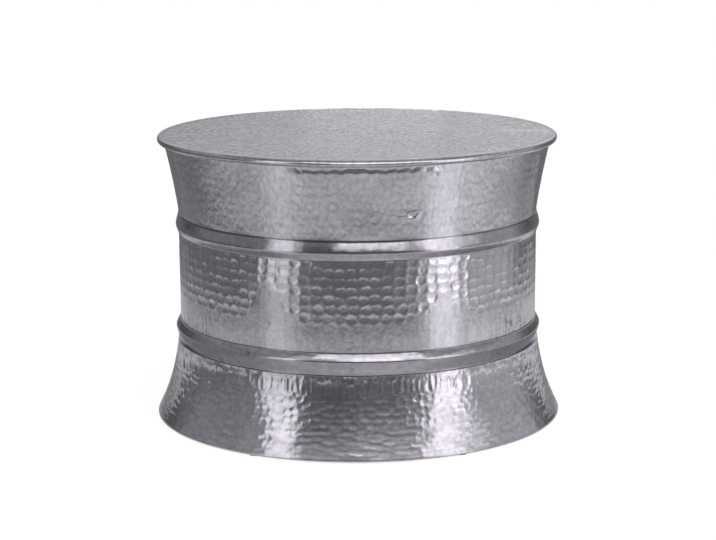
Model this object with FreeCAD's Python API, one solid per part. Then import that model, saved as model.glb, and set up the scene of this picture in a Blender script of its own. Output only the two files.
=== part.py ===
import FreeCAD, Part
import os
from math import cos, degrees, radians, sin, sqrt
from FreeCAD import Vector

# Round drum side table in hammered aluminium sheet: a flared skirt, a straight drum and a flared
# upper band, joined end to end over steel hoops, with a V-section ring over each joint and a
# sheet-covered board for its top. Millimetres. +Z up, origin on the floor on the table's axis,
# +Y to the back, where the ends of the rings meet. The ends of the hoops meet at the front.

# Overall
overall_height = 460.0
drum_radius = 290.0  # outside of the straight drum
base_spread = 40.0  # how far the bottom edge stands out past the drum
rim_spread = 32.0  # how far the edge of the top stands out past the drum

# Sheet of the bands, the rings and the covering of the top
sheet = 1.2
fold = 1.5  # inside radius of the skirt's folded edge

# Lower band, the skirt
base_flange = 24.0  # folded in at the bottom
base_upright = 6.0  # straight edge below the flare
lower_bow = 5.4  # how far the flare bows in from a straight line
neck_step = 4.7  # shoulder from the flare in to the collar
neck_rise = 4.5  # height of that shoulder
neck_gap = 0.5  # from the shoulder up to the ring

# Upper band
top_flange = 26.0  # folded in at the top
upper_spread = 21.4  # how far the flare's top stands out past the drum
upper_bow = 1.7

# Lower ring
lower_ring_bottom = 128.0
lower_ring_width = 34.5
lower_ring_crest = 21.5  # height of the crest above the ring's lower edge
lower_ring_stand = 7.8  # how far the crest stands off the drum

# Upper ring
upper_ring_bottom = 302.5
upper_ring_width = 31.5
upper_ring_crest = 12.8
upper_ring_stand = 5.5

# Both rings
ring_lip = 2.0  # flat foot along each edge of a ring
ring_butt = 1.0  # gap where the ends of a ring meet
joiner_length = 50.0
joiner_clear = 1.0  # from a joiner to the drum

# Hoops inside the two joints
hoop_width = 30.0
hoop_thickness = 2.0
hoop_butt = 3.0  # gap where the ends of a hoop meet

# Rivets of the joints
rivet_radius = 1.6
rivet_head_radius = 3.0
rivet_head = 1.4
rivet_tail_radius = 2.6
rivet_tail = 1.0
rivets_per_row = 12
rivet_row_past = 1.0  # more than the upper ring's crest stands off the drum

# Top
board_thickness = 9.0
hem_width = 30.0  # of the covering, under the board
batten_width = 40.0
batten_depth = 20.0
batten_clear = 5.0  # from a batten's corners to the flange
batten_screw_end = 30.0  # from a batten's end to its outer screws
batten_screw_middle = 90.0  # from the centre to its inner screws

# Screws
screw_radius = 2.0
screw_head_radius = 4.0
screw_head = 2.4
screw_point = 2.0
screw_clear = 0.2  # round a screw's shank in sheet
top_screw_bite = 7.0  # length in the board
top_screw_inset = 11.0  # from the flare's top edge in to the screws
top_screw_count = 8
batten_screw_bite = 6.0

# Base
base_hoop_thickness = 3.0
base_hoop_clear = 0.3  # from the hoop to the skirt's folded edge
base_hoop_setback = 1.0  # from the flange's inner edge to the hoop's
foot_count = 6
foot_height = 3.0
foot_radius = 9.0
foot_edge = 0.8  # rounding of a foot
foot_stem_radius = 3.0
foot_barb_radius = 4.5
foot_barb = 4.0

BACK, FRONT = 90.0, -90.0
AXIS = Vector(0, 0, 1)
ORIGIN = Vector(0, 0, 0)

# Worked out from the values above
base_radius = drum_radius + base_spread
rim_radius = drum_radius + rim_spread
drum_inside = drum_radius - sheet
top_thickness = board_thickness + 2 * sheet
hem_z = overall_height - top_thickness  # underside of the top
flange_z = hem_z - sheet  # underside of the upper band's flange
board_z = hem_z + sheet  # underside of the board
upper_edge = drum_radius + upper_spread
screw_circle = upper_edge - top_screw_inset
lower_joint = lower_ring_bottom + lower_ring_width / 2
upper_joint = upper_ring_bottom + upper_ring_width / 2
rivet_row = upper_ring_stand + rivet_row_past  # from a joint to a row, so that the heads clear the rings
base_grip = sheet + base_hoop_thickness  # what goes through the flange and the hoop
base_flange_inside = base_radius - base_flange
base_hoop_z = foot_height + sheet
base_hoop_inside = base_flange_inside + base_hoop_setback
base_hoop_outside = base_radius - sheet - fold - base_hoop_clear
foot_circle = base_flange_inside + foot_radius


def level(radius, height):
    """A point of a section: its radius from the axis and its height."""
    return Vector(radius, 0, height)


def outline(start, *moves):
    """A line in section. A move is the next corner, or a pair of an arc's middle and the next corner."""
    edges, here = [], level(*start)
    for move in moves:
        if isinstance(move[0], tuple):
            through, end = level(*move[0]), level(*move[1])
            edges.append(Part.Arc(here, through, end).toShape())
        else:
            end = level(*move)
            edges.append(Part.LineSegment(here, end).toShape())
        here = end
    return Part.Wire(edges)


def turned(section, angle=360.0, start=0.0):
    """The section turned about the table's axis, from a start angle."""
    face = section if section.ShapeType == "Face" else Part.Face(section)
    solid = face.revolve(ORIGIN, AXIS, angle)
    solid.rotate(ORIGIN, AXIS, start)
    return solid


def bar_section(inside, outside, low, high):
    """The section of a flat hoop or a straight wall."""
    return outline((inside, low), (outside, low), (outside, high), (inside, high), (inside, low))


def sheet_section(line):
    """The section of a sheet whose outer side is the line. The line runs with the inside on its left."""
    return line.makeOffset2D(sheet, 2, True, True, False)


def quarter(centre, radius, angle):
    """A point on a fold, at an angle in the section from the outward level line."""
    return centre[0] + radius * cos(radians(angle)), centre[1] + radius * sin(radians(angle))


def bowed(low, high, bow):
    """A flare from a low point to a high one, as the pair that outline takes."""
    run, rise = high[0] - low[0], high[1] - low[1]
    chord = sqrt(run * run + rise * rise)
    middle = (low[0] + high[0]) / 2 - bow * rise / chord, (low[1] + high[1]) / 2 + bow * run / chord
    return middle, high


def at(radius, angle, height=0.0):
    """A point at a radius, an angle about the axis and a height."""
    return Vector(radius * cos(radians(angle)), radius * sin(radians(angle)), height)


def evenly(count, step=0.0):
    """The angles of things spaced evenly, from a share of a step on from +X."""
    return [360.0 * (n + step) / count for n in range(count)]


def dome(radius, height):
    """A flat-bottomed round head that rises along +Z."""
    curve = (radius * radius + height * height) / (2 * height)
    ball = Part.makeSphere(curve, Vector(0, 0, height - curve))
    return ball.common(Part.makeCylinder(radius, height))


def placed(shape, direction, point):
    """A copy whose +Z points along direction, at a point."""
    copy = shape.copy()
    copy.Placement = FreeCAD.Placement(point, FreeCAD.Rotation(AXIS, direction))
    return copy


def gapped(section, gap, radius, angle):
    """The section turned into a strip bent to a hoop, whose ends leave a gap at an angle."""
    share = degrees(gap / radius)
    return turned(section, 360.0 - share, angle + share / 2)


def less(shape, tools):
    """The shape with the room for the tools cut out of it."""
    return shape.cut(Part.makeCompound(tools))


def downward(head):
    head.rotate(ORIGIN, Vector(1, 0, 0), 180)
    return head


# --- fasteners of the joints ---


def joint_rivets(joint):
    """Two rows of rivets through the ends of two bands and the hoop behind them."""
    hoop_inside = drum_inside - hoop_thickness
    tail_seat = sqrt(hoop_inside**2 - rivet_tail_radius**2)
    shank = Part.makeCylinder(rivet_radius, drum_radius - tail_seat)
    head = dome(rivet_head_radius, rivet_head)
    head.translate(Vector(0, 0, drum_radius - tail_seat))
    tail = Part.makeCylinder(rivet_tail_radius, rivet_tail, Vector(0, 0, -rivet_tail))
    rivet = shank.fuse([head, tail]).removeSplitter()
    rows = [(joint + side * rivet_row, angle) for side in (-1, 1)
            for angle in evenly(rivets_per_row, 0.5)]
    return [placed(rivet, at(1, angle), at(tail_seat, angle, height)) for height, angle in rows]


lower_rivets = joint_rivets(lower_joint)
upper_rivets = joint_rivets(upper_joint)


def joint_hoop(joint, rivets):
    """A flat steel strip, bent to the inside of the bands, behind the joint."""
    low, high = joint - hoop_width / 2, joint + hoop_width / 2
    section = bar_section(drum_inside - hoop_thickness, drum_inside, low, high)
    return less(gapped(section, hoop_butt, drum_inside, FRONT), rivets)


# --- rings ---


def ring_line(bottom, width, crest, stand):
    """The outer side of a ring: a lip, two slopes that meet in a crest, and a lip."""
    lip, top = drum_radius + sheet, bottom + width
    return outline((lip, bottom), (lip, bottom + ring_lip), (drum_radius + stand, bottom + crest),
                   (lip, top - ring_lip), (lip, top))


def ring(*sizes):
    """The sheet of a ring. Its lips lie on the drum, and its ends meet at the back."""
    return gapped(sheet_section(ring_line(*sizes)), ring_butt, drum_radius, BACK)


def ring_joiner(*sizes):
    """A plug that fills the ring's hollow, but for a gap to the drum, for a short way past its butt."""
    inner_side = ring_line(*sizes).makeOffset2D(sheet, 2, False, True, False)
    slopes = Part.Wire(inner_side.OrderedEdges[1:3])
    low, crest, high = (corner.Point for corner in slopes.OrderedVertexes)
    length = degrees(joiner_length / drum_radius)
    plug = turned(Part.makePolygon([low, crest, high, low]), length, BACK - length / 2)
    return plug.cut(Part.makeCylinder(drum_radius + joiner_clear, overall_height))


# --- the three bands ---


def lower_flare():
    """The skirt: flange, folded bottom edge, upright lip, flare, shoulder and the collar behind the ring."""
    radius = fold + sheet
    corner = (base_radius - radius, foot_height + radius)
    flare_foot = (base_radius, foot_height + base_upright)
    neck = lower_ring_bottom - neck_gap
    line = outline(
        (base_flange_inside, foot_height),
        (corner[0], foot_height),
        (quarter(corner, radius, -45), (base_radius, corner[1])),
        flare_foot,
        bowed(flare_foot, (drum_radius + neck_step, neck - neck_rise), lower_bow),
        (drum_radius, neck),
        (drum_radius, lower_joint),
    )
    return turned(sheet_section(line))


def middle_drum():
    """The straight band, from joint to joint."""
    return turned(bar_section(drum_inside, drum_radius, lower_joint, upper_joint))


def upper_flare():
    """The collar behind the ring, the flare up to the rim and the flange under the top."""
    collar = (drum_radius, upper_ring_bottom + upper_ring_width + neck_gap)
    line = outline(
        (drum_radius, upper_joint),
        collar,
        bowed(collar, (upper_edge, hem_z), upper_bow),
        (upper_edge - top_flange, hem_z),
    )
    return turned(sheet_section(line))


# --- the top ---


def top_sheet():
    """The covering: the flat of the top, rolled over the board's edge and hemmed under it."""
    roll = top_thickness / 2
    centre = (rim_radius - roll, overall_height - roll)
    line = outline(
        (rim_radius - hem_width, hem_z),
        (centre[0], hem_z),
        ((rim_radius, centre[1]), (centre[0], overall_height)),
        (0, overall_height),
    )
    return turned(sheet_section(line))


def top_board():
    """The board that the covering is dressed over, with a full round edge."""
    roll, top = board_thickness / 2, overall_height - sheet
    edge = rim_radius - sheet
    section = outline((0, board_z), (edge - roll, board_z), ((edge, board_z + roll), (edge - roll, top)),
                      (0, top), (0, board_z))
    return turned(section)


def batten_half():
    """Half the length of a batten, with its corners clear of the upper band's flange."""
    reach = upper_edge - top_flange - batten_clear
    return sqrt(reach**2 - (batten_width / 2) ** 2)


def batten(lap_up):
    """A batten along X, under the board, with half its depth cut out where the other one crosses it."""
    half = batten_half()
    bar = Part.makeBox(2 * half, batten_width, batten_depth,
                       Vector(-half, -batten_width / 2, board_z - batten_depth))
    lap_z = board_z - batten_depth / 2 if lap_up else board_z - batten_depth
    lap = Part.makeBox(batten_width, batten_width, batten_depth / 2,
                       Vector(-batten_width / 2, -batten_width / 2, lap_z))
    return bar.cut(lap)


def screw(head, length):
    """A screw that points up, with its head's upper side or its countersunk face at the origin."""
    shank = Part.makeCylinder(screw_radius, length - screw_point)
    point = Part.makeCone(screw_radius, screw_radius / 4, screw_point, Vector(0, 0, length - screw_point))
    return shank.fuse([head, point]).removeSplitter()


def batten_screws():
    """Countersunk screws up through the battens into the board."""
    sunk = screw(Part.makeCone(screw_head_radius, screw_radius, screw_head), batten_depth + batten_screw_bite)
    reaches = (batten_screw_middle, batten_half() - batten_screw_end)
    spots = [at(reach, angle, board_z - batten_depth) for angle in evenly(4) for reach in reaches]
    return [placed(sunk, AXIS, spot) for spot in spots]


def top_screw_spots():
    return [at(screw_circle, angle, flange_z) for angle in evenly(top_screw_count, 0.5)]


def top_screws():
    """Pan-head screws up through the flange and the hem into the board."""
    pan = screw(downward(dome(screw_head_radius, screw_head)), board_z - flange_z + top_screw_bite)
    return [placed(pan, AXIS, spot) for spot in top_screw_spots()]


def top_screw_holes():
    """The holes for them in the flange and the hem."""
    radius, depth = screw_radius + screw_clear, board_z - flange_z
    return [Part.makeCylinder(radius, depth, spot) for spot in top_screw_spots()]


# --- the base ---


def base_rivet_set():
    """Dome-head rivets up through the bottom flange and the base hoop."""
    shank = Part.makeCylinder(rivet_radius, base_grip)
    head = downward(dome(rivet_head_radius, rivet_head))
    tail = Part.makeCylinder(rivet_tail_radius, rivet_tail, Vector(0, 0, base_grip))
    rivet = shank.fuse([head, tail]).removeSplitter()
    circle = (base_hoop_inside + base_hoop_outside) / 2
    return [placed(rivet, AXIS, at(circle, angle, foot_height)) for angle in evenly(foot_count, 0.5)]


def base_hoop():
    """A flat steel hoop that lies on the bottom flange."""
    high = base_hoop_z + base_hoop_thickness
    return turned(bar_section(base_hoop_inside, base_hoop_outside, base_hoop_z, high))


def foot_bumper(angle):
    """A rubber bumper pushed up through the flange and the hoop, where its barb holds it."""
    head = Part.makeCylinder(foot_radius, foot_height)
    head = head.makeFillet(foot_edge, [e for e in head.Edges if e.BoundBox.ZMax < foot_height / 2])
    stem = Part.makeCylinder(foot_stem_radius, base_grip, Vector(0, 0, foot_height))
    barb = Part.makeCone(foot_barb_radius, foot_stem_radius, foot_barb, Vector(0, 0, foot_height + base_grip))
    return placed(head.fuse([stem, barb]).removeSplitter(), AXIS, at(foot_circle, angle))


def foot_holes():
    """The holes for the bumpers' stems, which they fill."""
    return [Part.makeCylinder(foot_stem_radius, base_grip, at(foot_circle, angle, foot_height))
            for angle in evenly(foot_count)]


# --- put together ---

through_base = base_rivet_set()
into_top = top_screws()
into_battens = batten_screws()
batten_under = batten(lap_up=True)
batten_over = batten(lap_up=False)
batten_over.rotate(ORIGIN, AXIS, 90)
lower_sizes = (lower_ring_bottom, lower_ring_width, lower_ring_crest, lower_ring_stand)
upper_sizes = (upper_ring_bottom, upper_ring_width, upper_ring_crest, upper_ring_stand)

table = {
    "top_sheet": less(top_sheet(), top_screw_holes()),
    "top_board": less(top_board(), into_top + into_battens),
    "batten_a": less(batten_under, into_battens),
    "batten_b": less(batten_over, into_battens),
    "batten_screws": Part.makeCompound(into_battens),
    "top_screws": Part.makeCompound(into_top),
    "upper_flare": less(upper_flare(), upper_rivets + top_screw_holes()),
    "middle_drum": less(middle_drum(), upper_rivets + lower_rivets),
    "lower_flare": less(lower_flare(), lower_rivets + through_base + foot_holes()),
    "upper_hoop": joint_hoop(upper_joint, upper_rivets),
    "lower_hoop": joint_hoop(lower_joint, lower_rivets),
    "upper_hoop_rivets": Part.makeCompound(upper_rivets),
    "lower_hoop_rivets": Part.makeCompound(lower_rivets),
    "upper_ring": ring(*upper_sizes),
    "lower_ring": ring(*lower_sizes),
    "upper_ring_joiner": ring_joiner(*upper_sizes),
    "lower_ring_joiner": ring_joiner(*lower_sizes),
    "base_hoop": less(base_hoop(), through_base + foot_holes()),
    "base_rivets": Part.makeCompound(through_base),
}
for number, angle in enumerate(evenly(foot_count), 1):
    table[f"foot_bumper_{number}"] = foot_bumper(angle)

os.makedirs("parts", exist_ok=True)
for name, shape in table.items():
    shape.exportStep(f"parts/{name}.step")
    print(name, len(shape.Solids), round(shape.Volume / 1000, 2), "cm3", shape.isValid())
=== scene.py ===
from math import asin, cos, hypot, pi, radians, sin, sqrt, tau

import bpy
import numpy as np
from mathutils import Matrix, Vector


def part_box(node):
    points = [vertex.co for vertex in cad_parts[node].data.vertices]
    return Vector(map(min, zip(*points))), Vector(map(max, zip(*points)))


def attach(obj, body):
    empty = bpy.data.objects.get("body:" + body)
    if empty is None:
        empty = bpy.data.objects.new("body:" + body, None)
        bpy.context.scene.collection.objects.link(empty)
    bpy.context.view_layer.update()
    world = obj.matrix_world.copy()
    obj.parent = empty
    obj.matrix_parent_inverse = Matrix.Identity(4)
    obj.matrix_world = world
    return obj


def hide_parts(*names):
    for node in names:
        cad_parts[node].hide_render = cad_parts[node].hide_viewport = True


# A drum side table: three bands of hammered aluminium sheet, two rings over their joints and a
# sheet-covered top. Metres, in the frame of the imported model: +Z up, the floor at zero, the
# table's axis at the origin and its front towards -Y.

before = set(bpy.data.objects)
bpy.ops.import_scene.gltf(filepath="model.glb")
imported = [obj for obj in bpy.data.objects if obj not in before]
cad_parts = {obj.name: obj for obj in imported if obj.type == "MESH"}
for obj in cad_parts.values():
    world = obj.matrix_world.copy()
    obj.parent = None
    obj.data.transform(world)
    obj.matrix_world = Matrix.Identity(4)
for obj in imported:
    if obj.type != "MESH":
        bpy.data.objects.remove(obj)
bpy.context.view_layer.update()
bpy.ops.object.select_all(action="DESELECT")

# --- middle drum ---
# The straight band: aluminium sheet rolled round, welded at the back and hammered from outside over a
# stake. Rows of round blows cover its upper part, and it was only planished smooth below them. Towards
# its sides, just above the lower ring, shade is painted into its metal in upright streaks.

SHEET = 0.0012
DRUM_STEPS, DRUM_ROWS = 1080, 72
SAME_POINT = SHEET / 50
SMOOTH_UNDER = 35
DIMPLED_FROM = 0.206
DIMPLES_FADE = 0.006

# Each plain patch is the angle of its middle and its spread, in degrees, and how far up it reaches.
PLAIN_PATCHES = ((-118, 5.5, 0.070), (-63, 10, 0.030))

# The painted shade comes and thins out again over these spans, in degrees from the front.
SIDE_SHADE, SIDE_SHADE_HIGH, SHADE_STREAK = 0.90, 0.060, 0.009
SIDE_SHADE_COMES, SIDE_SHADE_THINS, SIDE_SHADE_LOST = (38, 56), (72, 100), 0.8

# Where a ring covers the drum, the blows fade out over these lengths.
FADE_UNDER, FADE_IN, FADE_OUT = 0.002, 0.004, 0.003
low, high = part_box("middle_drum")
drum_low, drum_high, drum_radius = low.z, high.z, high.x
drum_seen_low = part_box("lower_ring")[1].z
drum_seen_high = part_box("upper_ring")[0].z


def stretch(start, end, pieces):
    """Points along a straight stretch of a section, past its start and up to its end."""
    return [(start[0] + (end[0] - start[0]) * n / pieces, start[1] + (end[1] - start[1]) * n / pieces)
            for n in range(1, pieces + 1)]


def spun(name, outline, steps, gap=0.0):
    """Draws a closed outline of radius and height, point by point, and spins it round the table's axis.

    A gap, as an angle, leaves the ring open at the back, with its two ends closed.
    """
    bpy.ops.object.select_all(action="DESELECT")
    bpy.ops.mesh.primitive_plane_add(size=SHEET)
    piece = bpy.context.object
    piece.name = piece.data.name = name
    bpy.ops.object.mode_set(mode="EDIT")
    bpy.ops.mesh.merge(type="CENTER")
    here = (0, 0)
    for number, point in enumerate(outline):
        step = (point[0] - here[0], 0, point[1] - here[1])
        if number == 0:
            bpy.ops.transform.translate(value=step)
        else:
            bpy.ops.mesh.extrude_vertices_move(TRANSFORM_OT_translate={"value": step})
        here = point
    if gap:
        bpy.ops.mesh.select_all(action="SELECT")
        bpy.ops.mesh.edge_face_add()
    bpy.ops.object.mode_set(mode="OBJECT")
    turn = piece.modifiers.new("turn", "SCREW")
    turn.axis, turn.angle, turn.steps, turn.render_steps = "Z", tau - gap, steps, steps
    turn.use_merge_vertices, turn.merge_threshold = not gap, SAME_POINT
    bpy.ops.object.modifier_apply(modifier=turn.name)
    if gap:
        piece.rotation_euler.z = pi / 2 + gap / 2
        bpy.ops.object.transform_apply(rotation=True)
    bpy.ops.object.mode_set(mode="EDIT")
    bpy.ops.mesh.select_all(action="SELECT")
    bpy.ops.mesh.remove_doubles(threshold=SAME_POINT)
    bpy.ops.mesh.normals_make_consistent(inside=False)
    bpy.ops.object.mode_set(mode="OBJECT")
    bpy.ops.object.shade_smooth_by_angle(angle=radians(SMOOTH_UNDER))
    return piece


def points_of(piece):
    """A mesh's vertices as an array with one row each, and each one's radius, angle and height."""
    points = np.empty(len(piece.data.vertices) * 3)
    piece.data.vertices.foreach_get("co", points)
    points = points.reshape(-1, 3)
    return points, np.hypot(points[:, 0], points[:, 1]), np.arctan2(points[:, 1], points[:, 0]), points[:, 2]


def put_back(piece, points, polish_and_shade):
    """Gives a mesh its moved vertices, and keeps for its metal how far the hammer polished each point, less any
    painted shade.
    """
    piece.data.vertices.foreach_set("co", points.ravel())
    piece.data.attributes.new("polish_and_shade", "FLOAT", "POINT").data.foreach_set("value", polish_and_shade)
    piece.data.update()


def from_front(angle):
    """Degrees round the table from its front, below zero on the left."""
    return (np.degrees(angle) + 90 + 180) % 360 - 180


def ease(value, start, end):
    """Goes smoothly from 0 to 1 as the value goes from start to end."""
    share = np.clip((value - start) / (end - start), 0, 1)
    return share * share * (3 - 2 * share)


def blows(angle, along, count, pitch, jitter, reach, uneven, stagger, draw):
    """How far rows of hammer blows sink a skin. Each sinks a round dish, and the deepest at a point wins."""
    row = np.round(along / pitch).astype(int)
    first = row.min() - 1
    rows = row.max() + 2 - first
    counts = count(np.arange(first, first + rows)) if callable(count) else np.full(rows, count)
    shift = draw.normal(0, 1, (2, rows, counts.max())) * np.reshape(jitter, (2, 1, 1))
    sink = draw.uniform(1 - uneven, 1 + uneven, (rows, counts.max()))
    start = draw.uniform(0, stagger, rows)
    deepest = np.zeros(len(along))
    for next_row in (-1, 0, 1):
        line = row + next_row - first
        turn = angle / tau * counts[line] - start[line]
        nearest = np.round(turn).astype(int)
        for next_blow in (-1, 0, 1):
            blow = nearest + next_blow
            at = (line, blow % counts[line])
            aside = turn - blow - shift[0][at]
            above = along / pitch - row - next_row - shift[1][at]
            away = np.hypot(aside / reach[0], above / reach[1])
            deepest = np.maximum(deepest, sink[at] * (1 - away**4))
    return deepest


def beaten(angle, along, zones, draw, uneven=0.5, stagger=1.0):
    """Relief and polish of a skin beaten zone by zone.

    A zone is its share at each point, its depth, the blows in a row, the pitch of the rows, how far the
    blows stray sideways and lengthways and their reach both ways, as shares of their spacing, and how much
    they brighten the metal.
    """
    relief, polish_and_shade = np.zeros(len(along)), np.zeros(len(along))
    for share, depth, count, pitch, jitter, reach, shine in zones:
        sunk = blows(angle, along, count, pitch, jitter, reach, uneven, stagger, draw)
        relief += share * depth * (1 / 3 - sunk)
        polish_and_shade += share * shine * sunk
    return relief, polish_and_shade


def swell(angle, along, size, depth, draw, waves=14):
    """Slow unevenness of a rolled sheet, as a sum of waves of about a size that run all ways."""
    relief = np.zeros(len(along))
    for _ in range(waves):
        way = draw.uniform(0, pi)
        length = size * draw.uniform(0.7, 1.6)
        turns = round(tau * drum_radius * cos(way) / length)
        relief += np.sin(turns * angle + tau * sin(way) / length * along + draw.uniform(0, tau))
    return relief * depth / sqrt(waves)


def ding(angle, height, at, size, depth):
    """A small pit with a raised lip, at an angle and a height, of a width and a tallness."""
    aside = (angle - at[0] + pi) % tau - pi
    away = np.hypot(aside * drum_radius / size[0], (height - at[1]) / size[1])
    return depth * (0.35 * np.exp(-(away - 1.5) ** 2 * 4) - np.exp(-away**2 * 1.6))


def seam(angle, depth=0.00022, width=0.0035):
    """The welded seam at the back: filed nearly flush, so it shows as a faint valley with a raised bead."""
    aside = ((angle - pi / 2 + pi) % tau - pi) * drum_radius / width
    return depth * (0.6 * np.exp(-aside**2 * 3) - np.exp(-(np.abs(aside) - 1.3) ** 2 * 3))


def node(tree, kind, inputs, **settings):
    """Adds a shader node. An input is a value or an output of another node."""
    made = tree.nodes.new("ShaderNode" + kind)
    for name, value in settings.items():
        setattr(made, name, value)
    for name, value in inputs.items():
        if isinstance(value, bpy.types.NodeSocket):
            tree.links.new(value, made.inputs[name])
        else:
            made.inputs[name].default_value = value
    return made


def figure_out(tree, operation, *values):
    """One step of arithmetic on a shader's values."""
    return node(tree, "Math", dict(enumerate(values)), operation=operation).outputs["Value"]


def fade(tree, value, start, end, first=0.0, last=1.0):
    """A shader's value: first up to the start, last past the end, and in between evenly."""
    return node(tree, "MapRange", {"Value": value, "From Min": start, "From Max": end, "To Min": first,
                                   "To Max": last}).outputs["Result"]


def new_material(name):
    """An empty node material: its tree, its Principled shader and the piece's own coordinates."""
    material = bpy.data.materials.new(name)
    material.use_nodes = True
    tree = material.node_tree
    place = tree.nodes.new("ShaderNodeTexCoord").outputs["Object"]
    return material, tree, tree.nodes["Principled BSDF"], place


def ramp(tree, fac, *stops):
    """A colour ramp from pairs of a place and a colour or a grey."""
    made = node(tree, "ValToRGB", {"Fac": fac})
    elements = made.color_ramp.elements
    while len(elements) < len(stops):
        elements.new(0.5)
    for element, (place, colour) in zip(elements, stops):
        element.position = place
        element.color = (*colour, 1) if isinstance(colour, tuple) else (colour, colour, colour, 1)
    return made.outputs["Color"]


def beaten_aluminium(name, mark_size, mark_depth, stretch_z=1.0, dullest=0.22, shade=1.0):
    """Polished aluminium, brightest in the hammer's dishes, with small planishing marks, a faint grain and
    painted shade.
    """
    material, tree, shader, place = new_material(name)
    shader.inputs["Metallic"].default_value = 1
    polish_and_shade = node(tree, "Attribute", {}, attribute_name="polish_and_shade").outputs["Fac"]
    cloud = node(tree, "TexNoise", {"Vector": place, "Scale": 14, "Detail": 6, "Roughness": 0.7})
    turned = node(tree, "Mapping", {"Vector": place, "Scale": (1, 1, stretch_z)})
    marks = node(tree, "TexVoronoi", {"Vector": turned.outputs["Vector"], "Scale": 1 / mark_size,
                                      "Smoothness": 0.35}, feature="SMOOTH_F1")
    worn = figure_out(tree, "MULTIPLY_ADD", marks.outputs["Distance"], 0.4, cloud.outputs["Fac"])
    # Painted shade taken off the polishing pushes the tone towards the dark end of the ramp.
    bright = figure_out(tree, "MULTIPLY_ADD", polish_and_shade, -0.4, worn)
    tones = ((0.10, (0.67, 0.642, 0.711)), (0.85, (0.47, 0.45, 0.499)), (1.0, (0.24, 0.23, 0.25)))
    # A shade below one darkens every tone: painted shade.
    tones = [(stop, tuple(share * shade for share in tone)) for stop, tone in tones]
    tree.links.new(ramp(tree, bright, *tones), shader.inputs["Base Color"])
    dull = node(tree, "TexNoise", {"Vector": place, "Scale": 60, "Detail": 5, "Roughness": 0.65})
    rubbed = figure_out(tree, "MULTIPLY_ADD", polish_and_shade, -0.2, dull.outputs["Fac"])
    tree.links.new(fade(tree, rubbed, 0.2, 0.65, 0.11, dullest), shader.inputs["Roughness"])
    dents = node(tree, "Bump", {"Height": marks.outputs["Distance"], "Distance": mark_depth, "Strength": 1.0})
    grain = node(tree, "TexNoise", {"Vector": place, "Scale": 700, "Detail": 3})
    fine = node(tree, "Bump", {"Height": grain.outputs["Fac"], "Distance": 0.00003, "Strength": 0.7,
                               "Normal": dents.outputs["Normal"]})
    tree.links.new(fine.outputs["Normal"], shader.inputs["Normal"])
    return material


drum_outline = (
    [(drum_radius - SHEET, drum_low), (drum_radius, drum_low)]
    + stretch((drum_radius, drum_low), (drum_radius, drum_seen_low), 3)
    + stretch((drum_radius, drum_seen_low), (drum_radius, drum_seen_high), DRUM_ROWS)
    + stretch((drum_radius, drum_seen_high), (drum_radius, drum_high), 3)
    + [(drum_radius - SHEET, drum_high)]
    + stretch((drum_radius - SHEET, drum_high), (drum_radius - SHEET, drum_low), 5)
)
drum = spun("drum_beaten", drum_outline, DRUM_STEPS)
points, radius, angle, height = points_of(drum)
draw = np.random.default_rng(7)
relief = swell(angle, height, size=0.09, depth=0.00012, draw=draw) + seam(angle)
beaten_from = DIMPLED_FROM + swell(angle, height, size=0.15, depth=0.003, draw=draw)
for at, width, rise in PLAIN_PATCHES:
    beaten_from += rise * np.exp(-((np.degrees(angle) - at) / width) ** 2)
dimpled = ease(height - beaten_from, -DIMPLES_FADE, DIMPLES_FADE)
marks, polish_and_shade = beaten(angle, height, (
    (dimpled, 0.00044, 102, 0.0143, (0.07, 0.07), (0.46, 0.56), 0.8),
    (1 - dimpled, 0.00009, 210, 0.0340, (0.20, 0.20), (0.60, 0.60), 0.5),
    (1, 0.00003, 330, 0.0075, (0.30, 0.30), (0.60, 0.60), 0.3),
), draw, stagger=0.25)
relief += marks
turned = np.abs(from_front(angle))
# Painted shade: the metal is darkened at the sides and down towards the lower ring, in upright streaks.
painted_side_shade = SIDE_SHADE * ease(turned, *SIDE_SHADE_COMES) * (1 - SIDE_SHADE_LOST * ease(turned, *SIDE_SHADE_THINS))
painted_side_shade *= np.clip(1 - (height - drum_seen_low) / SIDE_SHADE_HIGH, 0, 1)
polish_and_shade -= painted_side_shade * (1 + swell(angle, 0 * height, size=SHADE_STREAK, depth=0.18, draw=draw))
skin = (radius > drum_radius - SHEET / 2) * ease(height, drum_seen_low - FADE_UNDER, drum_seen_low + FADE_IN)
skin *= 1 - ease(height, drum_seen_high - FADE_OUT, drum_seen_high + FADE_UNDER)
points[:, :2] *= (1 + skin * relief / radius)[:, None]
put_back(drum, points, polish_and_shade)
drum.data.materials.append(beaten_aluminium("drum_metal", mark_size=0.006, mark_depth=0.00006))
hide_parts("middle_drum")
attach(drum, "root")

# --- skirt ---
# The lower band: one rolled sheet, flared to the floor, folded in as a flange at the bottom, with a small
# shoulder at the neck. Upright blows under the ring, round ones below them and flat ones near the floor.

SKIRT_STEPS, SKIRT_ROWS = 1080, 68
FLANGE = 0.024
FOLD = 0.0016
UPRIGHT = 0.0028
SHOULDER_LOW = 0.123
SHOULDER_HIGH = 0.1275
SHOULDER_STEP = 0.0047
ROUND_NEAR, ROUND_FAR = 0.0003, 0.0010
SKIRT_BOW = 0.0054
FLARE_FADE, SHOULDER_FADE = 0.006, 0.001
UPRIGHT_BLOWS_AT, UPRIGHT_BLOWS_FROM = 0.109, (0.098, 0.103)
FLAT_BLOWS_TO = (0.040, 0.055)

# Lighter round blows between these spans, and broader upright ones from here on, in degrees from the front.
LIGHTER, LIGHTER_FROM, LIGHTER_TO, REGAINED = 0.28, (18, 26), (40, 48), 0.6
BROAD_FROM = (22, 34)
low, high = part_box("lower_flare")
skirt_radius, skirt_low, skirt_high = high.x, low.z, high.z


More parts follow.
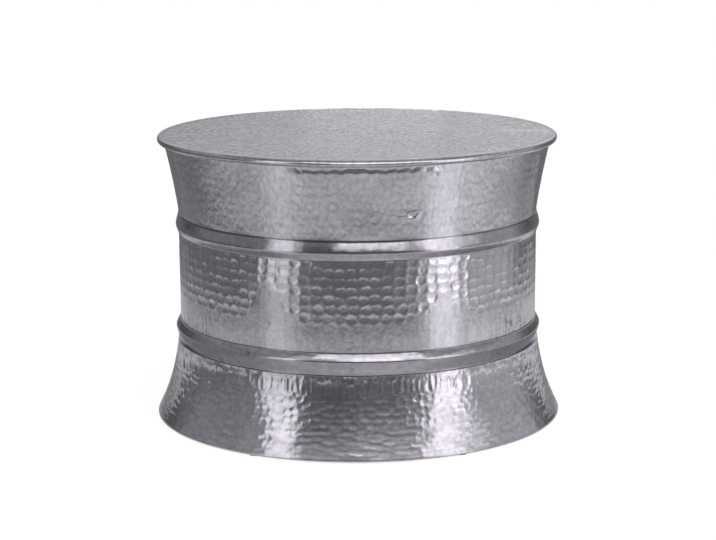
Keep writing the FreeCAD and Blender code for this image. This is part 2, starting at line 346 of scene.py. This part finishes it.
def arc_points(start, end, bow, pieces):
    """Points along an arc from start to end that bows to its left by a distance, past its start."""
    run, rise = end[0] - start[0], end[1] - start[1]
    chord = hypot(run, rise)
    bend = (chord * chord / 4 + bow * bow) / (2 * bow)
    half = asin(chord / 2 / bend)
    points = []
    for n in range(1, pieces + 1):
        turn = half * (2 * n / pieces - 1)
        ahead, aside = chord / 2 + bend * sin(turn), bend * cos(turn) - (bend - bow)
        points.append((start[0] + (run * ahead - rise * aside) / chord,
                       start[1] + (rise * ahead + run * aside) / chord))
    return points


flare_foot = (skirt_radius, skirt_low + UPRIGHT)
flare_top = (drum_radius + SHOULDER_STEP, SHOULDER_LOW)
neck = (drum_radius, SHOULDER_HIGH)
fold_start = (skirt_radius - FOLD, skirt_low)
fold_end = (skirt_radius, skirt_low + FOLD)
skirt_outline = (
    [(skirt_radius - FLANGE, skirt_low)]
    + stretch((skirt_radius - FLANGE, skirt_low), fold_start, 2)
    + arc_points(fold_start, fold_end, -FOLD * (1 - sqrt(0.5)), 4)
    + stretch(fold_end, flare_foot, 2)
    + arc_points(flare_foot, flare_top, SKIRT_BOW, SKIRT_ROWS)
    + [(flare_top[0] - ROUND_NEAR, SHOULDER_HIGH - ROUND_FAR)]
    + [(flare_top[0] - ROUND_FAR, SHOULDER_HIGH - ROUND_NEAR), neck]
    + stretch(neck, (drum_radius, skirt_high), 1)
    + [(drum_radius - SHEET, skirt_high), (drum_radius - SHEET, SHOULDER_HIGH + SHEET / 2)]
    + [(flare_top[0] - SHEET, SHOULDER_LOW - SHEET / 2)]
    + [(r - SHEET, z) for r, z in arc_points(flare_top, flare_foot, -SKIRT_BOW, 5)]
    + [(skirt_radius - FOLD, skirt_low + SHEET), (skirt_radius - FLANGE, skirt_low + SHEET)]
)
skirt = spun("skirt_beaten", skirt_outline, SKIRT_STEPS)
flare_line = np.array([flare_foot] + arc_points(flare_foot, flare_top, SKIRT_BOW, SKIRT_ROWS))
points, radius, angle, height = points_of(skirt)
draw = np.random.default_rng(11)
relief = swell(angle, height, size=0.08, depth=0.00018, draw=draw) + seam(angle)
wander = swell(angle, height, size=0.10, depth=0.003, draw=draw)
top_zone = ease(height + wander, *UPRIGHT_BLOWS_FROM)
foot_zone = 1 - ease(height + wander, *FLAT_BLOWS_TO)
turned = np.abs(from_front(angle))
lighter = 1 - LIGHTER * ease(turned, *LIGHTER_FROM) * (1 - REGAINED * ease(turned, *LIGHTER_TO))
broad = ease(turned, *BROAD_FROM)
marks, polish_and_shade = beaten(angle, height - UPRIGHT_BLOWS_AT, (
    (top_zone * broad, 0.00050, 112, 0.0240, (0.12, 0.10), (0.50, 0.52), 0.6),
    (top_zone * (1 - 0.45 * broad), 0.00046, 230, 0.0240, (0.15, 0.15), (0.56, 0.58), 0.6),
    ((1 - top_zone) * (1 - foot_zone) * lighter, 0.00035, 160, 0.0092, (0.16, 0.16), (0.58, 0.56), 0.8),
    (foot_zone, 0.00033, 100, 0.0066, (0.25, 0.25), (0.60, 0.60), 0.8),
    (1, 0.00007, 330, 0.0065, (0.30, 0.30), (0.60, 0.60), 0.3),
), draw)
relief += marks
skin = radius > np.interp(height, flare_line[:, 1], flare_line[:, 0]) - SHEET / 2
skin = skin * ease(height, flare_foot[1] - FADE_UNDER, flare_foot[1] + FLARE_FADE)
skin *= 1 - ease(height, SHOULDER_LOW - SHOULDER_FADE, SHOULDER_HIGH)
points[:, :2] *= (1 + skin * relief / radius)[:, None]
put_back(skirt, points, polish_and_shade)
skirt.data.materials.append(beaten_aluminium("skirt_metal", mark_size=0.007, mark_depth=0.00008))
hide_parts("lower_flare")
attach(skirt, "root")

# --- upper band ---
# The band under the top: one rolled sheet that flares out to the rim, where a flange is folded in and
# screwed up to the board. It was planished with light upright blows, and has a dent at the front.

BAND_STEPS, BAND_ROWS = 1080, 70
COLLAR_TOP = 0.3345
BAND_BOW = 0.0017
RIM_FLANGE = 0.026
CREASE_HEIGHT = 0.4362
CREASE_LEAN = 0.16
CREASE_LEFT, CREASE_RIGHT = (-22, -15), (22, 27)
SCALLOPS, SCALLOP_HIGH = 92, 0.0022

# Each dent is its degrees from the front, its height, its width and tallness, and its depth.
DENTS = (
    (16.4, 0.3708, (0.0050, 0.0034), 0.0013),
    (17.6, 0.3740, (0.0030, 0.0018), 0.0007),
    (13.3, 0.3720, (0.0090, 0.0012), 0.0003),
    (16.9, 0.3880, (0.0060, 0.0010), 0.0003),
    (22.8, 0.4340, (0.0036, 0.0022), 0.0006),
)
low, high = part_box("upper_flare")
band_low, band_high, band_edge = low.z, high.z, high.x
collar, band_top = (drum_radius, COLLAR_TOP), (band_edge, band_high)
band_outline = (
    [(drum_radius, band_low)]
    + stretch((drum_radius, band_low), collar, 3)
    + arc_points(collar, band_top, BAND_BOW, BAND_ROWS)
    + stretch(band_top, (band_edge - RIM_FLANGE, band_high), 2)
    + [(band_edge - RIM_FLANGE, band_high - SHEET), (band_edge - SHEET, band_high - SHEET)]
    + [(r - SHEET, z) for r, z in arc_points(band_top, collar, -BAND_BOW, 5)]
    + [(drum_radius - SHEET, band_low)]
)
band = spun("upper_band_beaten", band_outline, BAND_STEPS)
band_line = np.array([collar] + arc_points(collar, band_top, BAND_BOW, BAND_ROWS))
points, radius, angle, height = points_of(band)
draw = np.random.default_rng(13)
relief = swell(angle, height, size=0.08, depth=0.00020, draw=draw) + seam(angle)
marks, polish_and_shade = beaten(angle, height, (
    (1, 0.00011, 215, 0.0120, (0.20, 0.20), (0.58, 0.58), 0.5),
    (1, 0.00007, 330, 0.0075, (0.30, 0.30), (0.60, 0.60), 0.4),
), draw)
relief += marks
crease_line = CREASE_HEIGHT + swell(angle, 0 * height, size=0.03, depth=0.0006, draw=draw)
crease_line += SCALLOP_HIGH * np.abs(np.sin(SCALLOPS / 2 * angle))
turned = from_front(angle)
front = ease(turned, *CREASE_LEFT) * (1 - ease(turned, *CREASE_RIGHT))
relief -= front * CREASE_LEAN * np.maximum(height - crease_line, 0)
for aside, up, size, depth in DENTS:
    relief += ding(angle, height, (radians(aside - 90), up), size, depth)
skin = radius > np.interp(height, band_line[:, 1], band_line[:, 0]) - SHEET / 2
skin = skin * ease(height, COLLAR_TOP - FADE_UNDER, COLLAR_TOP + FLARE_FADE) * (height < band_high - SHEET / 2)
points[:, :2] *= (1 + skin * relief / radius)[:, None]
put_back(band, points, polish_and_shade)
band_metal = beaten_aluminium("upper_band_metal", mark_size=0.005, mark_depth=0.00008, stretch_z=0.7)
band.data.materials.append(band_metal)
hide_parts("upper_flare")
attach(band, "root")

# --- rings ---
# A V-section ring covers each joint: a strip of the same sheet, folded along its middle, rolled round
# and slipped over. Its ends meet at the back over a plug, where a fine gap is left. Shade is painted
# on its upper lip, where it meets the band above.

RING_STEPS = 540
RING_LIP = 0.002
RING_BUTT = 0.001
LIP_SHADE = 1.8
CROWN = 0.00025
CREST_BEND = 0.0016


def ring_piece(name, cad_node, crest_rise, draw):
    """One ring, from its outline with a small round bend at the crest and slightly crowned slopes."""
    ring_low, ring_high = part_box(cad_node)
    low, high, stand = ring_low.z, ring_high.z, ring_high.x
    seat = drum_radius + SHEET
    crest = (stand, low + crest_rise)
    foot, brow = (seat, low + RING_LIP), (seat, high - RING_LIP)
    below = Vector((foot[0] - crest[0], foot[1] - crest[1])).normalized() * CREST_BEND
    above = Vector((brow[0] - crest[0], brow[1] - crest[1])).normalized() * CREST_BEND
    under, over = (crest[0] + below.x, crest[1] + below.y), (crest[0] + above.x, crest[1] + above.y)
    tip = (crest[0] - CREST_BEND * 0.25, crest[1])
    outer = ([(seat, low)] + stretch((seat, low), foot, 2) + arc_points(foot, under, -CROWN, 8)
             + [tip] + [over] + arc_points(over, brow, -CROWN, 8) + stretch(brow, (seat, high), 2))
    inner = [(r - SHEET, z) for r, z in ((seat, high), brow, crest, foot, (seat, low))]
    piece = spun(name, outer + inner, RING_STEPS, RING_BUTT / drum_radius)
    points, radius, angle, height = points_of(piece)
    marks, polish_and_shade = beaten(angle, height, ((1, 0.00008, 170, 0.0080, (0.3, 0.3), (0.6, 0.6), 0.5),), draw)
    outside = radius > seat + RING_LIP / 4
    wobble = swell(angle, height, size=0.12, depth=0.00010, draw=draw) + outside * marks
    # Painted shade: the upper lip is darkened where it meets the band above.
    polish_and_shade -= LIP_SHADE * (height > high - RING_LIP * 0.9)
    points[:, :2] *= (1 + wobble / drum_radius)[:, None]
    put_back(piece, points, polish_and_shade)
    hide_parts(cad_node)
    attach(piece, "root")
    return piece


draw = np.random.default_rng(17)
# The rings are of the same sheet as the bands, but their tones are painted darker: painted shade.
ring_metal = beaten_aluminium("ring_metal", mark_size=0.007, mark_depth=0.00004, dullest=0.15, shade=0.86)
for name, cad_node, crest_rise in (("lower_ring_rolled", "lower_ring", 0.0215),
                                   ("upper_ring_rolled", "upper_ring", 0.0128)):
    ring = ring_piece(name, cad_node, crest_rise, draw)
    ring.data.materials.append(ring_metal)

# --- covering of the top ---
# A disc of sheet beaten in circles round its centre, dressed over the board, rolled round its edge
# and hemmed under it.

TOP_STEPS = 780
HEM = 0.030
EDGE_FALL = 0.0007
EDGE_WIDE = 0.014
TILT, TILT_FROM, TILT_TURN, TILT_LEVEL = 0.0013, (0.20, 0.26), (-0.016, 0.014), 0.35
MARK = 0.0125
TOP_ROWS, ROWS_TO_A_CIRCLE = 100, 4
CENTRE_PLAIN, CENTRE_LEVEL = (0.004, 0.020), (0.0, 0.06)
MARKS_FADE = 0.008

# No dish goes deeper than this share of the sheet, and the rolled edge's arc stays just short of half round.
DEEPEST, HALF_ROUND = 0.85, 0.9999
low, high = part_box("top_sheet")
top_radius, top_low, top_high = high.x, low.z, high.z
roll = (top_high - EDGE_FALL - top_low) / 2
flat_edge = (top_radius - roll, top_high)
inside = roll - SHEET
top_outline = (
    [(0, top_high - SHEET), (0, top_high)]
    + stretch((0, top_high), flat_edge, TOP_ROWS)
    + arc_points((top_radius - roll, top_high - EDGE_FALL), (top_radius - roll, top_low), roll * HALF_ROUND, 11)
    + stretch((top_radius - roll, top_low), (top_radius - HEM, top_low), 1)
    + [(top_radius - HEM, top_low + SHEET), (top_radius - roll, top_low + SHEET)]
    + arc_points((top_radius - roll, top_low + SHEET), (top_radius - roll, top_high - EDGE_FALL - SHEET),
                 -inside * HALF_ROUND, 4)
)
top = spun("top_beaten", top_outline, TOP_STEPS)
points, radius, angle, height = points_of(top)
draw = np.random.default_rng(19)
ring_of_marks = ROWS_TO_A_CIRCLE * flat_edge[0] / TOP_ROWS


def blows_round(ring):
    """How many blows go round the rings of marks on the top, by the rings' numbers."""
    return np.maximum(np.round(tau * np.abs(ring) * ring_of_marks / MARK), 6).astype(int)


marks, polish_and_shade = beaten(angle, radius, (
    (ease(radius, *CENTRE_PLAIN), 0.00062, blows_round, ring_of_marks, (0.10, 0.05), (0.58, 0.56), 0.9),
), draw, uneven=0.4)
relief = swell(angle, radius, size=0.06, depth=0.00010, draw=draw) * ease(radius, *CENTRE_LEVEL) + marks
relief += TILT * ease(points[:, 0], *TILT_FROM) * (ease(points[:, 1], *TILT_TURN) - TILT_LEVEL)
face = height > top_high - SHEET / 4
points[:, 2] += face * (1 - ease(radius, flat_edge[0] - MARKS_FADE, flat_edge[0])) * relief
points[:, 2] -= face * EDGE_FALL * ease(radius, flat_edge[0] - EDGE_WIDE, flat_edge[0])
points[:, 2] = np.where(face, np.maximum(points[:, 2], top_high - SHEET * DEEPEST), points[:, 2])
put_back(top, points, polish_and_shade)
top.data.materials.append(beaten_aluminium("top_metal", mark_size=0.008, mark_depth=0.00006))
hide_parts("top_sheet")
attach(top, "root")

# --- board ---
# The round fibreboard under the covering: pressed brown fibres in paler and darker patches, left raw.
# The covering is dressed over its edge, and the battens are screwed to its underside.


def dress(material, *cad_nodes):
    """Gives CAD nodes a material."""
    for name in cad_nodes:
        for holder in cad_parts[name].material_slots:
            holder.material = material


board_stuff, tree, shader, place = new_material("board_fibre")
fibres = node(tree, "TexNoise", {"Vector": place, "Scale": 420, "Detail": 6, "Roughness": 0.75,
                                 "Distortion": 0.6})
clouds = node(tree, "TexNoise", {"Vector": place, "Scale": 11, "Detail": 3})
mottle = figure_out(tree, "MULTIPLY_ADD", clouds.outputs["Fac"], 0.35, fibres.outputs["Fac"])
tree.links.new(ramp(tree, mottle, (0.45, (0.40, 0.28, 0.17)), (0.66, (0.55, 0.41, 0.27)),
                    (0.9, (0.66, 0.52, 0.36))), shader.inputs["Base Color"])
shader.inputs["Roughness"].default_value = 0.85
fuzz = node(tree, "Bump", {"Height": fibres.outputs["Fac"], "Distance": 0.0002, "Strength": 0.5})
tree.links.new(fuzz.outputs["Normal"], shader.inputs["Normal"])
dress(board_stuff, "top_board")

# --- battens ---
# Two planed pine battens, half-lapped where they cross. Each has its grain along its length, so the
# pattern of the second is the first one's turned by a quarter.

GRAIN_PULL = 0.06


def pine(name, along):
    """Planed softwood with its grain along X or Y, as growth rings that run out along the face."""
    material, tree, shader, place = new_material(name)
    pull = (GRAIN_PULL, 1, 1) if along == "X" else (1, GRAIN_PULL, 1)
    laid = node(tree, "Mapping", {"Vector": place, "Scale": pull})
    wander = node(tree, "TexNoise", {"Vector": laid.outputs["Vector"], "Scale": 16, "Detail": 2})
    bent = node(tree, "VectorMath", {0: laid.outputs["Vector"], 1: wander.outputs["Color"]}, operation="ADD")
    growth = node(tree, "TexWave", {"Vector": bent.outputs["Vector"], "Scale": 5, "Distortion": 1.4,
                                    "Detail": 2, "Detail Scale": 2.0}, wave_type="RINGS", rings_direction=along)
    pores = node(tree, "TexNoise", {"Vector": laid.outputs["Vector"], "Scale": 900, "Detail": 3})
    figure = figure_out(tree, "MULTIPLY_ADD", pores.outputs["Fac"], 0.25, growth.outputs["Fac"])
    tree.links.new(ramp(tree, figure, (0.1, (0.76, 0.57, 0.36)), (0.7, (0.70, 0.50, 0.29)),
                        (1.1, (0.55, 0.34, 0.17))), shader.inputs["Base Color"])
    shader.inputs["Roughness"].default_value = 0.62
    raised = node(tree, "Bump", {"Height": figure, "Distance": 0.00015, "Strength": 0.5})
    tree.links.new(raised.outputs["Normal"], shader.inputs["Normal"])
    return material


dress(pine("pine_along_x", "X"), "batten_a")
dress(pine("pine_along_y", "Y"), "batten_b")

# --- hoops and screws ---
# Rolled flat steel behind each joint and on the bottom flange, and the wood screws: all zinc plated,
# with the spangle of the plating and a few dull patches.

zinc, tree, shader, place = new_material("zinc_plating")
shader.inputs["Metallic"].default_value = 1
spangle = node(tree, "TexVoronoi", {"Vector": place, "Scale": 260, "Randomness": 1.0})
flake = node(tree, "SeparateColor", {"Color": spangle.outputs["Color"]})
patch = node(tree, "TexNoise", {"Vector": place, "Scale": 35, "Detail": 4})
cover = figure_out(tree, "MULTIPLY_ADD", flake.outputs[0], 0.35, patch.outputs["Fac"])
tree.links.new(ramp(tree, cover, (0.35, (0.49, 0.505, 0.53)), (0.9, (0.63, 0.635, 0.65))),
               shader.inputs["Base Color"])
tree.links.new(fade(tree, patch.outputs["Fac"], 0.3, 0.7, 0.30, 0.52), shader.inputs["Roughness"])
pitted = node(tree, "Bump", {"Height": patch.outputs["Fac"], "Distance": 0.0001, "Strength": 0.4})
tree.links.new(pitted.outputs["Normal"], shader.inputs["Normal"])
dress(zinc, "upper_hoop", "lower_hoop", "base_hoop", "batten_screws", "top_screws")

# --- rivets and joiners ---
# Dome-head aluminium rivets and the plugs behind the rings' butts: mill finish, scuffed by the snap
# that set the heads.

mill, tree, shader, place = new_material("mill_aluminium")
shader.inputs["Metallic"].default_value = 1
scuffs = node(tree, "TexNoise", {"Vector": place, "Scale": 650, "Detail": 5, "Roughness": 0.7,
                                 "Distortion": 1.2})
tree.links.new(ramp(tree, scuffs.outputs["Fac"], (0.35, (0.52, 0.52, 0.54)), (0.65, (0.64, 0.64, 0.66))),
               shader.inputs["Base Color"])
tree.links.new(fade(tree, scuffs.outputs["Fac"], 0.3, 0.7, 0.28, 0.48), shader.inputs["Roughness"])
tooled = node(tree, "Bump", {"Height": scuffs.outputs["Fac"], "Distance": 0.00006, "Strength": 0.5})
tree.links.new(tooled.outputs["Normal"], shader.inputs["Normal"])
dress(mill, "upper_hoop_rivets", "lower_hoop_rivets", "base_rivets", "upper_ring_joiner", "lower_ring_joiner")

# --- foot bumpers ---
# Six moulded bumpers of pale grey rubber, pushed in through the bottom flange, with a fine moulded
# grain and a little dust.

bumper, tree, shader, place = new_material("bumper_rubber")
dust = node(tree, "TexNoise", {"Vector": place, "Scale": 240, "Detail": 4, "Roughness": 0.6})
tree.links.new(ramp(tree, dust.outputs["Fac"], (0.35, (0.45, 0.45, 0.44)), (0.7, (0.54, 0.54, 0.53))),
               shader.inputs["Base Color"])
shader.inputs["Roughness"].default_value = 0.7
moulded = node(tree, "TexNoise", {"Vector": place, "Scale": 1500, "Detail": 2})
skin_grain = node(tree, "Bump", {"Height": moulded.outputs["Fac"], "Distance": 0.00005, "Strength": 0.4})
tree.links.new(skin_grain.outputs["Normal"], shader.inputs["Normal"])
dress(bumper, *(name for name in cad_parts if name.startswith("foot_bumper")))

# --- studio ---
# A pale sheet on the floor, tall soft lights at both sides, low ones in front, cards behind the table, a
# ceiling light and a pale room. To the camera the room is white and the sheet glows, and what the
# polished metal mirrors of them is toned by place and by direction.

# The camera's aim below level, its turn and its roll are in degrees, its lens and film in millimetres.
CAMERA_PLACE = (0.0148, -3.2251, 0.8883)
CAMERA_AIM = 11.515
CAMERA_TURN = 0.254
CAMERA_ROLL = -0.335
CAMERA_LENS, CAMERA_FILM = 100.99, 36
camera_data = bpy.data.cameras.new("camera")
camera_data.lens, camera_data.sensor_width, camera_data.sensor_fit = CAMERA_LENS, CAMERA_FILM, "HORIZONTAL"
camera = bpy.data.objects.new("camera", camera_data)
bpy.context.collection.objects.link(camera)
camera.matrix_world = (Matrix.Translation(CAMERA_PLACE) @ Matrix.Rotation(radians(CAMERA_TURN), 4, "Z")
                       @ Matrix.Rotation(radians(90 - CAMERA_AIM), 4, "X")
                       @ Matrix.Rotation(radians(CAMERA_ROLL), 4, "Z"))
bpy.context.scene.camera = camera

FLOOR = 2.5
WHITE, PAPER = (1, 1, 1, 1), (0.6, 0.6, 0.6, 1)
PAPER_GLOW, MIRRORED_GLOW = 0.80, 0.26
SHEEN, SHEEN_ROUGH = 0.37, 0.25


def blend(tree, share, first, second, blend_type="MIX"):
    """Puts a share of the second tone on the first."""
    return node(tree, "MixRGB", {0: share, 1: first, 2: second}, blend_type=blend_type).outputs["Color"]


bpy.ops.object.select_all(action="DESELECT")
bpy.ops.mesh.primitive_plane_add(size=FLOOR)
floor = bpy.context.object
floor.name = "floor"
paper = bpy.data.materials.new("floor_paper")
paper.use_nodes = True
tree = paper.node_tree
tree.nodes.remove(tree.nodes["Principled BSDF"])
rays = tree.nodes.new("ShaderNodeLightPath").outputs
mirrored = figure_out(tree, "MAXIMUM", rays["Is Glossy Ray"], rays["Is Transmission Ray"])
glow = figure_out(tree, "MULTIPLY_ADD", rays["Is Camera Ray"], PAPER_GLOW,
                  figure_out(tree, "MULTIPLY", mirrored, MIRRORED_GLOW))

# Painted light and shade on the sheet, as the metal mirrors it: rings of lighter and darker tone round
# the table, painted shade close to the table's sides and a painted pool of light far out to the right.
spot = tree.nodes.new("ShaderNodeTexCoord").outputs["Object"]
across = node(tree, "SeparateXYZ", {0: spot}).outputs
off_axis = figure_out(tree, "ABSOLUTE", across["X"])
outward = fade(tree, node(tree, "VectorMath", {0: spot}, operation="LENGTH").outputs["Value"], 0.3, 1.3)
rings = ramp(tree, outward, (0.03, 0.90), (0.09, 0.70), (0.16, 0.76), (0.27, 0.74), (0.42, 0.98),
             (0.66, 0.88), (0.92, 0.40))
shade_near_sides = figure_out(tree, "MAXIMUM", fade(tree, off_axis, 0.2, 0.45, 1.0, 0.50),
                         fade(tree, outward, 0.30, 0.48))
light_far_right = fade(tree, across["X"], 0.55, 0.95, 1.0, 1.5)
tone = blend(tree, 1.0, rings, figure_out(tree, "MULTIPLY", light_far_right, shade_near_sides), "MULTIPLY")
lit = node(tree, "BsdfDiffuse", {"Color": blend(tree, mirrored, PAPER, tone)})
shine = node(tree, "BsdfGlossy", {"Color": WHITE, "Roughness": SHEEN_ROUGH})

# In front it has a sheen, which mirrors the lights up to the metal, strongest far out to the sides.
sheen = figure_out(tree, "MULTIPLY", fade(tree, across["Y"], 0.3, -0.2, 0.0, SHEEN),
                   fade(tree, off_axis, 0.60, 0.74, 0.45, 1.0))
surface = node(tree, "MixShader", {0: figure_out(tree, "MULTIPLY", mirrored, sheen), 1: lit.outputs[0],
                                   2: shine.outputs[0]})
glowing = node(tree, "Emission", {"Color": blend(tree, mirrored, WHITE, tone), "Strength": glow})
both = node(tree, "AddShader", {0: surface.outputs[0], 1: glowing.outputs[0]})
tree.links.new(both.outputs[0], tree.nodes["Material Output"].inputs["Surface"])
floor.data.materials.append(paper)


def soft_light(name, place, aim, width, tall, radiance):
    """A soft panel that faces a point."""
    lamp = bpy.data.lights.new(name, "AREA")
    lamp.shape, lamp.size, lamp.size_y = "RECTANGLE", width, tall
    lamp.energy = radiance * pi * width * tall
    panel = bpy.data.objects.new(name, lamp)
    bpy.context.collection.objects.link(panel)
    panel.location = place
    panel.rotation_euler = (Vector(aim) - Vector(place)).to_track_quat("-Z", "Y").to_euler()


# Panels that stand round the table and face its axis. Azimuth is in degrees from the front towards +X.
# All but the wing have a smaller and brighter core behind them, which softens their edges.
for name, azimuth, distance, height, width, tall, radiance in (
    ("left_panel_low", -45.5, 1.63, 0.15, 0.67, 0.36, 0.30),
    ("left_panel_low_core", -45.5, 1.64, 0.15, 0.47, 0.36, 0.45),
    ("left_panel_high", -42.5, 1.63, 0.70, 0.60, 0.74, 0.42),
    ("left_panel_high_core", -42.5, 1.64, 0.70, 0.40, 0.74, 0.58),
    ("right_panel_low", 51.0, 1.62, 0.15, 0.68, 0.36, 0.50),
    ("right_panel_low_core", 51.0, 1.63, 0.15, 0.48, 0.36, 0.85),
    ("right_panel_high", 49.0, 1.62, 0.70, 0.78, 0.74, 0.40),
    ("right_panel_high_core", 48.0, 1.63, 0.70, 0.52, 0.74, 0.62),
    ("right_wing", 67.0, 1.62, 0.80, 0.46, 0.70, 0.34),
):
    place = (distance * sin(radians(azimuth)), -distance * cos(radians(azimuth)), height)
    soft_light(name, place, (0, 0, height), width, tall, radiance)

# Low panels in front, cards behind the table and a panel under the ceiling.
for name, place, aim, width, tall, radiance in (
    ("front_low", (0.11, -0.75, 0.483), (0.11, 0, 0.483), 0.50, 0.095, 1.04),
    ("front_middle", (0.10, -0.75, 0.578), (0.10, 0, 0.578), 0.52, 0.095, 1.40),
    ("front_left", (-0.38, -0.75, 0.69), (-0.38, 0, 0.69), 0.44, 0.24, 0.32),
    ("front_side", (0.56, -0.75, 0.53), (0.56, 0, 0.53), 0.36, 0.19, 0.40),
    ("front_high", (0.14, -0.75, 0.80), (0.14, 0, 0.70), 1.02, 0.32, 1.14),
    ("back_card", (0.03, 1.80, 0.40), (0.03, 0, 0.40), 0.34, 0.48, 0.44),
    ("back_card_wide", (0.05, 1.81, 0.40), (0.05, 0, 0.40), 0.60, 0.44, 0.20),
    ("back_card_widest", (0.08, 1.82, 0.38), (0.08, 0, 0.38), 0.95, 0.40, 0.08),
    ("ceiling", (0, 0.2, 2.3), (0, 0.2, 0), 2.0, 2.0, 0.25),
):
    soft_light(name, place, aim, width, tall, radiance)

world = bpy.data.worlds.new("studio")
bpy.context.scene.world = world
world.use_nodes = True
tree = world.node_tree
toward = node(tree, "SeparateXYZ", {0: tree.nodes.new("ShaderNodeTexCoord").outputs["Generated"]}).outputs
aside = figure_out(tree, "ABSOLUTE", toward["X"])

# The room's walls: one run of tones up the front and the sides, another up the middle of the back.
front_wall = ramp(tree, toward["Z"], (0.0, 0.11), (0.26, 0.20), (0.45, 0.38), (0.66, 0.60), (0.80, 0.24),
                  (1.0, 0.14))
back_wall = ramp(tree, toward["Z"], (0.0, 0.24), (0.11, 0.48), (0.16, 0.47), (0.30, 0.90), (0.50, 0.40),
                 (0.70, 0.20), (1.0, 0.20))
behind = figure_out(tree, "MULTIPLY", fade(tree, toward["Y"], 0.58, 0.9), fade(tree, aside, 0.50, 0.30))
walls = blend(tree, behind, front_wall, back_wall)

# They are brighter low on the left and towards the right, and darker high up at both sides.
ahead = fade(tree, toward["Y"], 0.68, 0.38)
left_low = figure_out(tree, "MULTIPLY", ahead, fade(tree, toward["Z"], 0.38, 0.08, 0.25, 1.5))
sides = figure_out(tree, "MULTIPLY_ADD", fade(tree, toward["X"], -0.45, -0.75, 0.0, 0.75), left_low,
                   fade(tree, toward["X"], -0.10, 0.12, 0.80, 1.12))
high_sides = figure_out(tree, "MAXIMUM", fade(tree, aside, 0.45, 0.70, 1.0, 0.70),
                        fade(tree, toward["Z"], 0.60, 0.45))
walls = blend(tree, 1.0, walls, figure_out(tree, "MULTIPLY", sides, high_sides), "MULTIPLY")

# A pale screen stands at the right, and the floor past the sheet is dull.
screen = figure_out(tree, "MULTIPLY", fade(tree, toward["X"], 0.4, 0.9, 0.0, 0.32), ahead)
screen_low = figure_out(tree, "MULTIPLY", screen, fade(tree, toward["Z"], 0.54, 0.24))
walls = blend(tree, 1.0, walls, screen_low, "ADD")
far_floor = figure_out(tree, "ADD", screen, 0.18)
room = blend(tree, fade(tree, toward["Z"], -0.03, 0.03), far_floor, walls)
rays = tree.nodes.new("ShaderNodeLightPath").outputs
tree.links.new(blend(tree, rays["Is Camera Ray"], room, WHITE), tree.nodes["Background"].inputs["Color"])

scene = bpy.context.scene
scene.view_settings.view_transform = "Standard"
